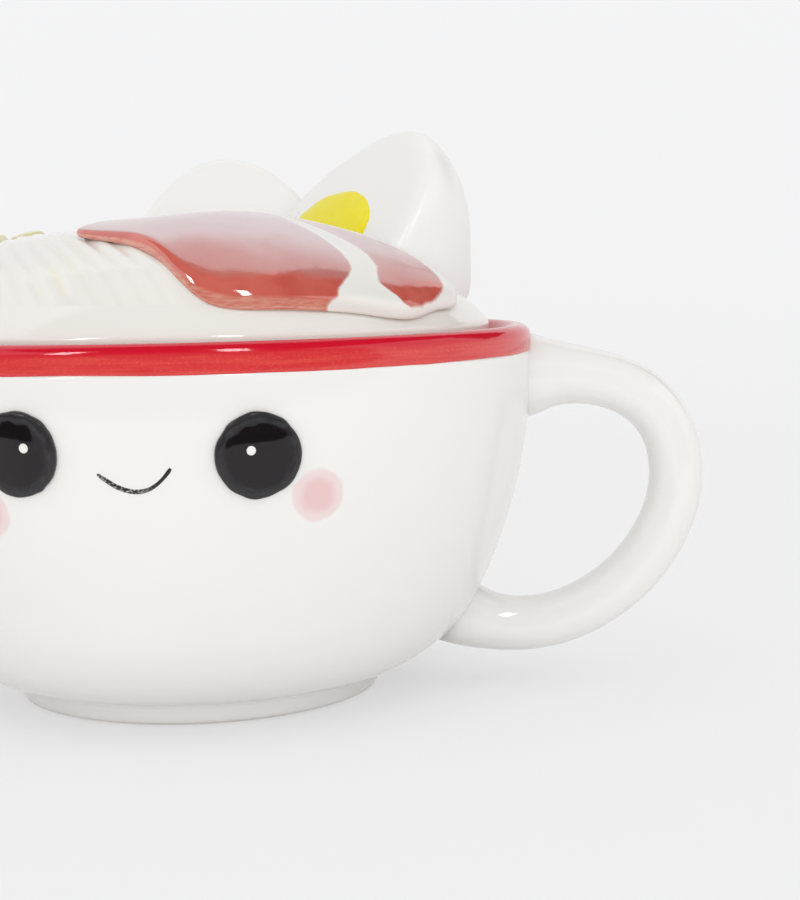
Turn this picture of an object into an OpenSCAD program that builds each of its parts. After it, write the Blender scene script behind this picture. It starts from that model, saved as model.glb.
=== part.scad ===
// Ramen mug with lid: a wide glazed stoneware mug with a loop handle and a dot-eyed face, and an inset
// domed lid that carries modelled noodles, a slice of pork, egg halves and spring onion.
// Millimetres, +Z up. Origin at the middle of the foot on the table, face to -Y, handle to +X.

/* [Bowl] */
// outside diameter of the rim
rim_diameter = 136; // [120:1:150]
// height of the lip above the table
rim_height = 72.3; // [66:0.1:80]
// thickness of the bowl's wall
wall = 4.6; // [3.5:0.1:6]
// radius of the long curve in the upper wall
wall_arc = 105; // [90:1:130]
// height where the wall turns in towards the foot
turn_height = 20.5; // [17:0.5:24]
// slope angle of the turned wall where it meets the foot
turn_end = 75; // [65:1:82]
// height of the foot ring
foot_height = 4; // [3:0.1:5]
// width of the foot ring's tread
foot_width = 6; // [4:0.1:8]
// how far the foot ring stands in from the edge of the base
foot_inset = 2.4; // [1:0.1:4]
// depth of the hollow inside the foot ring
foot_hollow = 2.4; // [1.5:0.1:3]

/* [Lip and seat] */
// thickness of the rounded lip
lip = 4.8; // [4:0.1:6]
// height of the red glaze band below the lip's top
band_height = 5.3; // [4:0.1:7]
// thickness of the red glaze coat
glaze = 0.4; // [0.3:0.05:0.6]
// depth of the lid's seat below the lip's top
seat_depth = 6.3; // [5:0.1:8]
// width of the ledge that carries the lid
seat_width = 6.7; // [5.5:0.1:9]
// thickness of the ledge at its inner edge
seat_edge = 3; // [2:0.1:5]

/* [Handle] */
// how far the handle stands out past the rim
handle_reach = 34; // [28:0.5:42]
// thickness of the handle, seen from the front
handle_thick = 10.6; // [8:0.1:13]
// width of the handle, seen from its end
handle_width = 12; // [9:0.1:16]
// height of the upper root's centre
handle_top = 61.8; // [58:0.1:64]
// height of the lower root's centre
handle_low = 14; // [12:0.1:20]
// how far the loop bows up past its upper root
handle_bow = 2; // [0:0.5:5]
// how far the loop's lower curve is drawn down below its lower root
handle_sag = 9; // [4:0.5:12]
// height of the loop's outermost point above the middle of its roots
handle_lift = 4; // [0:0.5:8]
// how much the roots swell out where they join the bowl
root_flare = 0.5; // [0.2:0.05:0.8]

/* [Face] */
// diameter of one eye
eye_diameter = 14.5; // [11:0.1:18]
// height of the eyes' centres
eye_height = 53.4; // [48:0.1:56]
// turn of each eye from the middle of the face
eye_turn = 17.5; // [14:0.5:25]
// how far an eye stands out from the wall
eye_rise = 2.3; // [1.5:0.1:3.5]
// height of an eye's upright edge
eye_edge = 0.5; // [0.3:0.1:1]

/* [Lid] */
// gap between the lid's edge and the inside of the lip
lid_gap = 3.5; // [1.7:0.1:4.7]
// height of the bare dome above the lip
dome_rise = 16.9; // [13:0.1:20]
// fullness of the dome's shoulder
dome_power = 4.2; // [3:0.1:5]
// thickness of the lid's shell
lid_wall = 4.5; // [3.5:0.1:6]
// rounding of the lid's edge
edge_round = 3; // [2:0.1:4]
// height of the edge rounding's centre above the lip
edge_height = 0; // [-1:0.1:1.5]
// depth of the ring that keeps the lid centred
spigot_depth = 6; // [4:0.1:9]
// thickness of that ring
spigot_wall = 4; // [3:0.1:5]
// gap between that ring and the ledge
spigot_gap = 1; // [0.6:0.1:1.5]

/* [Noodles] */
// spacing of the noodle strands
strand_pitch = 3; // [2.6:0.1:3.6]
// height of a strand above the dome
strand_height = 3.2; // [2:0.1:4.5]
// distance from the axis to the point that the strands circle round
strand_centre = 58; // [52:1:70]
// radius of the innermost strand's curve
strand_first = 44.7; // [44:0.1:50]
// space left between the strands and the lid's edge
strand_inset = 4.4; // [3.5:0.1:6]
// gap between the strands' ends and the pieces bedded beside them
strand_clear = 1.7; // [1.5:0.1:3]
// how far the strands reach in under the pork
strand_tuck = 5; // [3:0.1:6]

/* [Pork] */
// thickness of the slice near the lid's edge
pork_thick = 3.3; // [2.6:0.1:4]
// how much thinner the slice is at its tip
pork_thin = 1.2; // [0:0.1:1.4]
// length of the slice
pork_length = 75; // [70:0.5:76.5]
// width of the slice
pork_width = 39; // [34:0.5:39.5]
// turn of the slice on the lid
pork_turn = 11.5; // [9:0.5:12]
// distance from the slice's middle to the straight cut at its front
pork_cut = 20.4; // [18:0.1:21]
// space left between the slice and the lid's edge
pork_inset = 2; // [1.8:0.1:4]

/* [Eggs] */
// length of a whole egg
egg_length = 58; // [52:0.5:60]
// width of a whole egg
egg_width = 48; // [42:0.5:49]
// how much fatter the egg's blunt end is
egg_blunt = 0.2; // [0.05:0.005:0.22]
// height of the left half's cut face over the dome, at the face's middle
left_egg_rise = -2.3; // [-4:0.1:0]
// height of the right half's cut face over the dome, at the face's middle
right_egg_rise = 3; // [1.5:0.1:4]
// diameter of the yolk
yolk_diameter = 25.2; // [18:0.2:27]
// how far the yolk lies below the middle of the cut face
yolk_drop = 1.3; // [0:0.1:3]
// how far the yolk bulges from the cut face
yolk_rise = 1.2; // [0.6:0.1:2]

/* [Spring onion] */
// diameter of a spring onion ring
onion_diameter = 8; // [6:0.1:10]
// wall of a spring onion ring
onion_wall = 1.7; // [1.2:0.1:2.2]
// height of a spring onion ring
onion_height = 2.8; // [2:0.1:4]

/* [Hidden] */
$fn = 96;
// thickness of the slip that bonds a modelled piece to its seat
slip = 0.2;
// gap between the glaze coat and the clay below it
coat_gap = 0.05;
// width of the groove between two strands
strand_groove = 0.16;

rim_r = rim_diameter / 2;
seat_z = rim_height - seat_depth;
wall_z = seat_z;
band_z = rim_height - band_height;
lip_in = rim_r - lip;
seat_in = lip_in - seat_width;
wall_mid = [rim_r - wall_arc, wall_z];
turn_start = asin((wall_z - turn_height) / wall_arc);
turn_arc = (turn_height - foot_height) / (sin(turn_end) - sin(turn_start));
turn_mid = wall_mid + (wall_arc - turn_arc) * [cos(turn_start), -sin(turn_start)];
base_r = turn_mid[0] + turn_arc * cos(turn_end);
foot_r = base_r - foot_inset;
floor_z = turn_mid[1] - turn_arc + wall;
ramp_z = seat_z - seat_edge - (rim_r - wall - seat_in);
ramp_turn = asin((wall_z - ramp_z) / (wall_arc - wall));

lid_r = lip_in - lid_gap;
dome_top = rim_height + dome_rise;
shoulder_r = lid_r - edge_round * (1 - cos(45));
shoulder_z = rim_height + edge_height + edge_round * sin(45);
spigot_r = seat_in - spigot_gap;
coat_end = seat_z + 1.5;
strand_edge = lid_r - strand_inset;
strand_count = floor((strand_centre + strand_edge - strand_first) / strand_pitch) + 1;

// middle of the pork, from its shares of the lid's radius, and the direction from there to its straight cut
pork_mid = lid_r * [0.362, -0.568];
pork_cut_way = -119.5;

// outer radius of the bowl at a height
function wall_r(z) =
    z >= wall_z ? rim_r
    : z >= turn_height ? wall_mid[0] + sqrt(wall_arc * wall_arc - pow(wall_z - z, 2))
    : turn_mid[0] + sqrt(max(0, turn_arc * turn_arc - pow(turn_mid[1] - z, 2)));

// height of the lid's outside at a radius
function dome_z(r) = dome_top - (dome_top - shoulder_z) * pow(r / shoulder_r, dome_power);

// points of an arc between two angles
function arc(mid, r, from, to, n) =
    [for (k = [0 : n]) let (a = from + (to - from) * k / n) mid + r * [cos(a), sin(a)]];

// outline of the lip, set in by a depth, from the outside over the top to the inside
function lip_line(in, outer_z, inner_z) = concat(
    [[rim_r - in, outer_z]],
    arc([rim_r - lip / 2, rim_height - lip / 2], lip / 2 - in, 0, 180, 16),
    [[lip_in + in, inner_z]]);

// point on a cubic curve, and its direction
function bez(p, t) =
    pow(1 - t, 3) * p[0] + 3 * t * pow(1 - t, 2) * p[1] + 3 * t * t * (1 - t) * p[2] + pow(t, 3) * p[3];
function bez_way(p, t) =
    let (d = pow(1 - t, 2) * (p[1] - p[0]) + 2 * t * (1 - t) * (p[2] - p[1]) + t * t * (p[3] - p[2]))
    d / norm(d);

// solid from a stack of rings with equal point counts, closed by the first and last ring
module skin(rings) {
    n = len(rings[0]);
    last = len(rings) - 1;
    points = [for (ring = rings) each ring];
    sides = [for (i = [0 : last - 1], k = [0 : n - 1])
        let (a = i * n + k, b = i * n + (k + 1) % n, c = a + n, d = b + n)
        each [[a, b, d], [a, d, c]]];
    ends = [[for (k = [n - 1 : -1 : 0]) k], [for (k = [0 : n - 1]) last * n + k]];
    polyhedron(points, concat(sides, ends));
}

// the space inside the bowl's outer wall, with the slip's thickness added
module wall_space() {
    rotate_extrude($fn = 300)
        polygon(concat(
            [[0, foot_height], [0, rim_height]],
            [for (k = [0 : 30]) let (z = rim_height + (foot_height - rim_height) * k / 30)
                [wall_r(z) + slip, z]]));
}

// the space below the lid's outside, with the slip's thickness added
module dome_space() {
    rotate_extrude()
        polygon(concat(
            [[0, 0], [0, dome_top + slip]],
            [for (k = [1 : 24]) let (r = shoulder_r * pow(k / 24, 0.6)) [r, dome_z(r) + slip]],
            [[rim_diameter, shoulder_z + slip], [rim_diameter, 0]]));
}

// bowl: turned wall, foot ring, floor and the ledge inside the lip
module bowl() {
    coat = glaze + coat_gap;
    outside = concat(
        [[rim_r, band_z]],
        arc(wall_mid, wall_arc, 0, -turn_start, 16),
        arc(turn_mid, turn_arc, -turn_start - 3, -turn_end, 14));
    soft = foot_width / 10;
    foot = [
        [foot_r + soft, foot_height - soft],
        [foot_r, foot_height * 0.6],
        [foot_r, soft],
        [foot_r - soft, 0],
        [foot_r - foot_width + soft, 0],
        [foot_r - foot_width, soft],
        [foot_r - foot_width - soft, foot_hollow],
        [0, foot_hollow]];
    inside = concat(
        [[0, floor_z]],
        arc(turn_mid, turn_arc - wall, -90, -turn_start - 3, 12),
        arc(wall_mid, wall_arc - wall, -turn_start, -ramp_turn, 10),
        [[seat_in, seat_z - seat_edge], [seat_in, seat_z], [lip_in, seat_z]]);
    top = lip_line(coat, band_z, coat_end);
    color("#f3f0ea")
        rotate_extrude()
            polygon(concat(outside, foot, inside, [[lip_in, coat_end]],
                [for (k = [len(top) - 1 : -1 : 0]) top[k]]));
}

// rim_glaze: red glaze coat over the lip, down to the band's edge outside and to the seat inside
module rim_glaze() {
    outer = lip_line(0, band_z + coat_gap, coat_end + coat_gap);
    inner = lip_line(glaze, band_z + coat_gap, coat_end + coat_gap);
    color("#c9202f")
        rotate_extrude()
            polygon(concat(outer, [for (k = [len(inner) - 1 : -1 : 0]) inner[k]]));
}

// one ring round the handle's line, given its middle, its direction and its half sizes
function handle_ring(mid, way, high, wide, n = 20) =
    [for (k = [0 : n - 1]) let (a = 360 * k / n)
        [mid[0] - way[1] * high * cos(a), wide * sin(a), mid[1] + way[0] * high * cos(a)]];

// a point moved along a direction until it lies on the bowl's wall
function land(p, way, near = -10, far = 30, n = 24) =
    n == 0 ? p + way * near
    : let (mid = (near + far) / 2, q = p + way * mid)
      norm([q[0], q[1]]) > wall_r(q[2]) + slip
        ? land(p, way, mid, far, n - 1)
        : land(p, way, near, mid, n - 1);

// a root: the ring's shape pressed onto the wall, from its middle outwards
function root(mid, way, high, wide, into) =
    [for (s = [0.04, 0.35, 0.7, 1])
        [for (p = handle_ring(mid, way, high * s, wide * s)) land(p, into)]];

// handle: pulled loop with swelling roots, luted to the wall
module handle() {
    out_x = rim_r + handle_reach - handle_thick / 2;
    mid_z = (handle_top + handle_low) / 2 + handle_lift;
    upper = [
        [rim_r - wall, handle_top],
        [rim_r + handle_reach * 0.53, handle_top + handle_bow],
        [out_x, mid_z + (handle_top - mid_z) * 0.72],
        [out_x, mid_z]];
    lower = [
        [out_x, mid_z],
        [out_x, mid_z - (mid_z - handle_low) * 0.64],
        [rim_r + handle_reach * 0.18, handle_low - handle_sag],
        [wall_r(handle_low), handle_low]];
    line = concat(
        [for (k = [0 : 16]) let (t = 0.12 + 0.88 * k / 16) [bez(upper, t), bez_way(upper, t)]],
        [for (k = [1 : 18]) let (t = 0.88 * k / 18) [bez(lower, t), bez_way(lower, t)]]);
    last = len(line) - 1;
    rings = [for (k = [0 : last])
        let (swell = 1 + root_flare * (exp(-pow(k / 3.2, 2)) + 0.5 * exp(-pow((last - k) / 4, 2))))
        handle_ring(line[k][0], line[k][1], handle_thick / 2 * swell, handle_width / 2 * swell)];
    top_swell = 1 + 1.24 * root_flare;
    low_swell = 1 + 0.68 * root_flare;
    low_way = line[last][1];
    top_root = root(line[0][0], [1, 0], handle_thick / 2 * top_swell, handle_width / 2 * top_swell,
        [-1, 0, 0]);
    low_root = root(line[last][0], low_way, handle_thick / 2 * low_swell, handle_width / 2 * low_swell,
        [low_way[0], 0, low_way[1]]);
    color("#f3f0ea")
        skin(concat(top_root, rings, [for (k = [3 : -1 : 0]) low_root[k]]));
}

// one eye: a sprigged button bedded on the wall, turned from the middle of the face
module eye(turn) {
    r = eye_diameter / 2;
    tilt = asin((wall_z - eye_height) / wall_arc);
    color("#121214")
        difference() {
            rotate([0, 0, turn - 90])
                translate([wall_r(eye_height), 0, eye_height])
                    rotate([0, 90 + tilt, 0])
                        rotate_extrude()
                            polygon(concat(
                                [[0, -r / 3], [r, -r / 3]],
                                [for (a = [0 : 6 : 90])
                                    [r * pow(cos(a), 0.7), eye_edge + (eye_rise - eye_edge) * sin(a)]]));
            wall_space();
        }
}

// eye_left: the eye on the viewer's left
module eye_left() {
    eye(-eye_turn);
}

// eye_right: its twin
module eye_right() {
    eye(eye_turn);
}

// lid_shell: hollow dome with a rounded edge, a flat seat and a ring that drops inside the ledge
module lid_shell() {
    edge = [lid_r - edge_round, rim_height + edge_height];
    soft = spigot_wall / 5;
    outside = concat(
        [for (k = [0 : 24]) let (r = shoulder_r * pow(k / 24, 0.6)) [r, dome_z(r)]],
        arc(edge, edge_round, 40, 0, 5),
        [[lid_r, seat_z + soft], [lid_r - soft, seat_z]]);
    spigot = [
        [spigot_r, seat_z],
        [spigot_r, seat_z - spigot_depth + soft],
        [spigot_r - soft, seat_z - spigot_depth],
        [spigot_r - spigot_wall + soft, seat_z - spigot_depth],
        [spigot_r - spigot_wall, seat_z - spigot_depth + soft]];
    inside = [for (k = [14 : -1 : 0]) let (r = (spigot_r - spigot_wall) * pow(k / 14, 0.7))
        [r, dome_z(r) - lid_wall]];
    color("#f3f0ea")
        rotate_extrude()
            polygon(concat(outside, spigot, inside));
}

// height of the noodle layer above the dome at a radius of the lid
function strand_top(r) = strand_height * (1.03 - 0.87 * pow(r / (lid_r - 1.5), 6));

// a plan point in the pork's own frame, along its length and across it
function in_frame(p) =
    let (d = p - pork_mid)
    [d[0] * cos(pork_turn) + d[1] * sin(pork_turn), d[1] * cos(pork_turn) - d[0] * sin(pork_turn)];

// is a plan point inside the pork's outline, grown by a margin: an oblong trimmed by the lid's edge and a cut
function in_pork(p, grow) =
    let (q = in_frame(p),
        d = p - pork_mid,
        cut = max(0, d[0] * cos(pork_cut_way) + d[1] * sin(pork_cut_way)))
    pow(abs(q[0]) / (pork_length / 2 + grow), 3) + pow(abs(q[1]) / (pork_width / 2 + grow), 4)
    + pow(norm(p) / (lid_r - pork_inset + grow), 40) + pow(cut / (pork_cut + grow), 22) < 1;

// plan point of the pork's edge in a direction from its middle
function pork_edge(t, near = 0, far = 60, n = 20) =
    let (mid = (near + far) / 2, p = pork_mid + mid * [cos(t), sin(t)])
    n == 0 ? p : in_pork(p, 0) ? pork_edge(t, mid, far, n - 1) : pork_edge(t, near, mid, n - 1);

// smooth step from 1 to 0 along the pork, between two shares of its length, from noodles to bare dome
function on_noodles(p, from, to) =
    let (q = in_frame(p),
        along = (q[0] - 0.62 * q[1]) / pork_length,
        w = min(1, max(0, (to - along) / (to - from))))
    w * w * (3 - 2 * w);

// heights of the pork's underside and of its top above the dome
function pork_under(p) = slip + on_noodles(p, -0.14, -0.013) * (strand_top(norm(p)) + slip);
function pork_top(p) =
    slip + pork_thick + on_noodles(p, -0.293, 0.213) * strand_top(norm(p))
    - on_noodles(p, -0.48, -0.187) * pork_thin;

// pork: a slice of layered belly with rounded edges, draped over noodles and dome up to the right egg
module pork() {
    // share of the outline and share of the thickness, from the middle below to the middle above
    edge = concat(
        [for (k = [0.03, 0.3, 0.55, 0.78]) [k, 0]],
        [[0.975, 0], [0.992, 0.12], [1, 0.35], [0.997, 0.6], [0.984, 0.8], [0.96, 0.93], [0.92, 1]],
        [for (k = [0.75, 0.5, 0.25, 0.03]) [k, 1 + 0.05 * (1 - k)]]);
    line = [for (k = [0 : 47])
        let (a = 7.5 * k)
        pork_edge(pork_turn + atan2(pork_width * sin(a), pork_length * cos(a)))];
    color("#b8463f")
        difference() {
            skin([for (e = edge)
                [for (q = line)
                    let (p = pork_mid + e[0] * (q - pork_mid), low = pork_under(p))
                    [p[0], p[1], dome_z(norm(p)) + low + e[1] * (pork_top(p) - low)]]]);
            egg_blank(right_egg, slip);
        }
}

// placing of the two egg halves: the middle of the cut face in shares of the lid's radius and its height over
// the dome, then the face's heading, its lift and the lean of the egg's axis
left_egg = [[0.0586, 0.5678], left_egg_rise, -87, 34, 175];
right_egg = [[0.4757, 0.2395], right_egg_rise, -147, 33, 84];

// the frame of an egg's cut face, which looks to -Y, moved to its place
module at_face(e) {
    p = lid_r * e[0];
    translate([p[0], p[1], dome_z(norm(p)) + e[1]])
        rotate([0, 0, e[2] + 90])
            rotate([-e[3], 0, 0])
                children();
}

// the same frame leaned with the egg, blunt end to +Z
module at_egg(e) {
    at_face(e)
        rotate([0, e[4], 0])
            children();
}

// half an egg in its place, grown all round by a margin
module egg_blank(e, grow) {
    at_egg(e)
        translate([0, -grow, 0])
            rotate_extrude(angle = 180)
                polygon([for (k = [0 : 24]) let (u = -cos(180 * k / 24))
                    [(egg_width / 2 + grow) * sqrt(max(0, 1 - u * u)) * (1 + egg_blunt * u),
                        (egg_length / 2 + grow) * u]]);
}

// half an egg, bedded on the dome
module egg_half(e) {
    difference() {
        egg_blank(e, 0);
        dome_space();
    }
}

// a yolk on the cut face, cut off where the dome covers it
module yolk(e) {
    r = yolk_diameter / 2;
    color("#f2d21b")
        difference() {
            at_face(e)
                translate([0, -slip, -yolk_drop])
                    rotate([90, 0, 0])
                        rotate_extrude()
                            polygon(concat(
                                [[0, 0]],
                                [for (a = [0 : 6 : 90]) [r * cos(a), yolk_rise * sin(a)]]));
            dome_space();
        }
}

// egg_left: the half at the back that faces the front
module egg_left() {
    color("#f6f4ee")
        egg_half(left_egg);
}

// egg_right: the half on the handle side, trimmed where its tip leans on the left half's cut face
module egg_right() {
    color("#f6f4ee")
        difference() {
            egg_half(right_egg);
            at_egg(left_egg)
                translate([-egg_length, -yolk_rise - 2 * slip, -egg_length])
                    cube(2 * egg_length);
        }
}

// yolk_left
module yolk_left() {
    yolk(left_egg);
}

// yolk_right
module yolk_right() {
    yolk(right_egg);
}

// plan oval that the noodles keep clear of behind an egg's cut face: middle, turn, half length, half width
function egg_bed(e, long, deep) =
    [lid_r * e[0] - egg_width / 5 * [cos(e[2]), sin(e[2])], e[2] + 90, long, deep];
egg_beds = [
    egg_bed(right_egg, egg_length / 2 + strand_clear, egg_width * 0.29),
    egg_bed(left_egg, egg_width / 2 * (1 + egg_blunt), egg_width * 0.31)];
// the innermost strand that also runs down in front of the pork, and where the others stop under it
front_bend = 74;
front_turn = 33;

// is a plan point inside one of those ovals, grown by a margin?
function in_bed(o, p, grow) =
    let (d = p - o[0],
        u = (d[0] * cos(o[1]) + d[1] * sin(o[1])) / (o[2] + grow),
        v = (d[1] * cos(o[1]) - d[0] * sin(o[1])) / (o[3] + grow))
    u * u + v * v < 1;

// plan point of a strand at a turn about the strands' centre
function strand_xy(bend, t) = [strand_centre - bend * cos(t), -bend * sin(t)];

// is a strand free to lie at this turn?
function strand_free(bend, t) =
    let (p = strand_xy(bend, t))
    norm(p) < strand_edge
    && (bend > front_bend || t < front_turn)
    && !in_pork(p, -strand_tuck)
    && !in_bed(egg_beds[0], p, strand_clear)
    && !in_bed(egg_beds[1], p, strand_clear);

// last step of a free run
function run_end(bend, k, step) =
    strand_free(bend, (k + 1) * step) ? run_end(bend, k + 1, step) : k;

// the turn between a free and a blocked one where a strand ends
function strand_end(bend, free, blocked, n = 10) =
    let (mid = (free + blocked) / 2)
    n == 0 ? free
    : strand_free(bend, mid) ? strand_end(bend, mid, blocked, n - 1) : strand_end(bend, free, mid, n - 1);

// one strand between two turns: a loaf section that follows the dome and rounds off at both ends
module strand(bend, from, to) {
    half = (strand_pitch - strand_groove) / 2;
    tip = 1.5 * strand_pitch;
    long = (to - from) * bend * PI / 180;
    parts = floor((long - tip) / tip);
    stops = concat(
        [0, 0.18 * tip, 0.49 * tip],
        [for (k = [0 : parts]) tip + (long - 2 * tip) * k / parts],
        [long - 0.49 * tip, long - 0.18 * tip, long]);
    skin([for (d = stops)
        let (t = from + (to - from) * d / long,
            end = min(1, min(d, long - d) / tip),
            fade = 0.15 + 0.85 * sqrt(1 - pow(1 - end, 2)),
            p = strand_xy(bend, t),
            side = [cos(t), sin(t)],
            high = fade * strand_top(norm(p)))
        [for (s = [[-1, 0], [-1, 0.76], [-0.62, 0.93], [0, 1], [0.62, 0.93], [1, 0.76], [1, 0]])
            let (q = p + side * s[0] * half * (0.6 + 0.4 * fade))
            [q[0], q[1], dome_z(norm(q)) + slip + s[1] * high]]]);
}

// noodles: strands laid side by side over the dome
module noodles() {
    color("#f1ecd6")
        for (i = [0 : strand_count - 1]) {
            bend = strand_first + i * strand_pitch;
            step = 240 / bend;
            for (k = [-24 : 24])
                if (strand_free(bend, k * step) && !strand_free(bend, (k - 1) * step)) {
                    last = run_end(bend, k, step);
                    from = strand_end(bend, k * step, (k - 1) * step);
                    to = strand_end(bend, last * step, (last + 1) * step);
                    if ((to - from) * bend * PI / 180 > 4 * strand_pitch)
                        strand(bend, from, to);
                }
        }
}

// spring_onion: two cut rings resting on the noodles
module spring_onion() {
    color("#c8cf8a")
        for (share = [[-0.595, 0.243], [-0.687, 0.084]]) {
            p = lid_r * share;
            r = norm(p);
            lean = atan((dome_z(r - 1) - dome_z(r + 1)) / 2);
            translate([p[0], p[1], dome_z(r) + 3 * slip + strand_height * 1.03])
                rotate([0, 0, atan2(p[1], p[0])])
                    rotate([0, lean, 0])
                        difference() {
                            cylinder(d = onion_diameter, h = onion_height);
                            translate([0, 0, -onion_height / 2])
                                cylinder(d = onion_diameter - 2 * onion_wall, h = 2 * onion_height);
                        }
        }
}

bowl();
rim_glaze();
handle();
eye_left();
eye_right();
lid_shell();
noodles();
pork();
egg_left();
egg_right();
yolk_left();
yolk_right();
spring_onion();
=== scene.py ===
# Ramen mug with lid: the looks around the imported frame, in metres, +Z up, face to -Y, handle to +X.
import math

import bpy
from mathutils import Matrix, Vector


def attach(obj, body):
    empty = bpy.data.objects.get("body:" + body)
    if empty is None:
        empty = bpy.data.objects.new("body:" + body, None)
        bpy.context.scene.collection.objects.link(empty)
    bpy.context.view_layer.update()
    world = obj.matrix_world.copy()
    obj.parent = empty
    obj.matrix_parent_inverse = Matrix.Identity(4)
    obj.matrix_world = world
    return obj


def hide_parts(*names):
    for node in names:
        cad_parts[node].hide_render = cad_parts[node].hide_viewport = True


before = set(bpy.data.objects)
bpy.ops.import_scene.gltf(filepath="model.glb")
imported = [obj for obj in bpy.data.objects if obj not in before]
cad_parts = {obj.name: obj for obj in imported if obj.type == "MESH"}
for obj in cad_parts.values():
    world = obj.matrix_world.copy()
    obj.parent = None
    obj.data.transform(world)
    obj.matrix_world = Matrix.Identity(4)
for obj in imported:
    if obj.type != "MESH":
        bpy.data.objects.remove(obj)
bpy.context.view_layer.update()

# Camera
# It stands an arm's length in front of the mug, on the handle's side and just above the lid, and looks
# slightly down, so that the handle fills the right of the frame and the left eye is cut by its edge.
CAMERA_AT = (0.05493, -0.36413, 0.08502)
CAMERA_TURN = 0.0370
CAMERA_DIP = 0.1036
CAMERA_ROLL = -0.0195
CAMERA_LENS = 72.77

bpy.ops.object.select_all(action="DESELECT")
bpy.ops.object.camera_add(location=CAMERA_AT)
camera = bpy.context.object
camera.rotation_euler = (Matrix.Rotation(CAMERA_TURN, 3, "Z")
                         @ Matrix.Rotation(math.pi / 2 - CAMERA_DIP, 3, "X")
                         @ Matrix.Rotation(CAMERA_ROLL, 3, "Z")).to_euler()
camera.data.lens = CAMERA_LENS
camera.data.sensor_width = 36
camera.data.clip_start = 0.01
bpy.context.scene.camera = camera
bpy.context.scene.view_settings.view_transform = "Standard"

# Studio floor
# A pale paper sweep: it lies flat under the mug and rolls up behind it into the backdrop, in one bevelled
# fold wide enough that no line shows. It glows a little, more with the distance, and keeps the shadow.
PAPER = (0.90, 0.90, 0.90, 1)
PAPER_GREY = (0.885, 0.885, 0.885, 1)
BACKDROP = (0.91, 0.91, 0.92, 1)
PAPER_FADE = (0.25, 1.3)
PAPER_GLOW = 0.55
PAPER_SIZE = 4.0
FOLD_Y = 1.3
FOLD_ROUND = 0.8


def put(material, kind, setup=None, **inputs):
    """Adds a node to a material: an input given as a socket is linked, any other is set."""
    made = material.node_tree.nodes.new(kind)
    for key, value in (setup or {}).items():
        setattr(made, key, value)
    for key, value in inputs.items():
        place = int(key[1:]) if key[0] == "i" and key[1:].isdigit() else key.replace("_", " ")
        if isinstance(value, bpy.types.NodeSocket):
            material.node_tree.links.new(value, made.inputs[place])
        else:
            made.inputs[place].default_value = value
    return made


def new_finish(name, roughness):
    """A material with a bare shader, returned with that shader."""
    material = bpy.data.materials.new(name)
    material.use_nodes = True
    shader = material.node_tree.nodes["Principled BSDF"]
    shader.inputs["Roughness"].default_value = roughness
    return material, shader


def mottle(material, scale, detail=2.0, stretch=(1, 1, 1)):
    """A soft random pattern on the piece, with scale in features per metre, stretched along the axes."""
    here = put(material, "ShaderNodeTexCoord").outputs["Object"]
    scaled = put(material, "ShaderNodeMapping", Vector=here, Scale=stretch).outputs["Vector"]
    return put(material, "ShaderNodeTexNoise", Vector=scaled, Scale=scale, Detail=detail).outputs["Fac"]


def between(material, value, low, high):
    """A smooth step of a value from 0 at low to 1 at high."""
    return put(material, "ShaderNodeMapRange", {"interpolation_type": "SMOOTHSTEP"},
               Value=value, From_Min=low, From_Max=high).outputs["Result"]


def tinted(material, mask, below, above):
    """One colour laid over another through a mask."""
    return put(material, "ShaderNodeMix", {"data_type": "RGBA"}, i0=mask, i6=below, i7=above).outputs[2]


def link(material, output, shader, socket):
    """An output joined to a socket of a shader."""
    material.node_tree.links.new(output, shader.inputs[socket])


def distance(material, point):
    """Distance on the piece from a fixed point."""
    here = put(material, "ShaderNodeTexCoord").outputs["Object"]
    way = put(material, "ShaderNodeVectorMath", {"operation": "DISTANCE"}, i0=here, i1=point)
    return way.outputs["Value"]


def reckon(material, operation, first, second=0.0):
    """A sum, product or other reckoning of two values in the material."""
    return put(material, "ShaderNodeMath", {"operation": operation}, i0=first, i1=second).outputs["Value"]


def spread(material, value, low, high=1.0):
    """A value between 0 and 1 spread evenly between two others."""
    return put(material, "ShaderNodeMapRange", Value=value, To_Min=low, To_Max=high).outputs["Result"]


bpy.ops.object.select_all(action="DESELECT")
bpy.ops.mesh.primitive_plane_add(size=PAPER_SIZE, location=(0, FOLD_Y - PAPER_SIZE / 2, 0))
paper = bpy.context.object
paper.name = "paper_sweep"
bpy.ops.object.transform_apply()
bpy.ops.object.mode_set(mode="EDIT")
bpy.ops.mesh.select_all(action="DESELECT")
bpy.ops.object.mode_set(mode="OBJECT")
for edge in paper.data.edges:
    edge.select = all(paper.data.vertices[v].co.y > FOLD_Y - 0.01 for v in edge.vertices)
bpy.ops.object.mode_set(mode="EDIT")
bpy.ops.mesh.select_mode(type="EDGE")
bpy.ops.mesh.extrude_edges_move(TRANSFORM_OT_translate={"value": (0, 0, PAPER_SIZE / 2)})
bpy.ops.mesh.select_all(action="DESELECT")
bpy.ops.object.mode_set(mode="OBJECT")
for edge in paper.data.edges:
    ends = [paper.data.vertices[v].co for v in edge.vertices]
    edge.select = all(abs(p.y - FOLD_Y) < 0.01 and p.z < 0.01 for p in ends)
bpy.ops.object.mode_set(mode="EDIT")
bpy.ops.mesh.bevel(offset=FOLD_ROUND, segments=24)
bpy.ops.object.mode_set(mode="OBJECT")
bpy.ops.object.shade_smooth()
sheet_paper, paper_shader = new_finish("studio_paper", 0.9)
paper_shader.inputs["Specular IOR Level"].default_value = 0.1
paper_tone = tinted(sheet_paper, mottle(sheet_paper, 3), PAPER, PAPER_GREY)
link(sheet_paper, paper_tone, paper_shader, "Base Color")
sight = put(sheet_paper, "ShaderNodeLightPath").outputs
seen = sight["Is Camera Ray"]
for ray in ("Is Glossy Ray", "Is Transmission Ray"):
    seen = reckon(sheet_paper, "MAXIMUM", seen, sight[ray])
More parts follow.
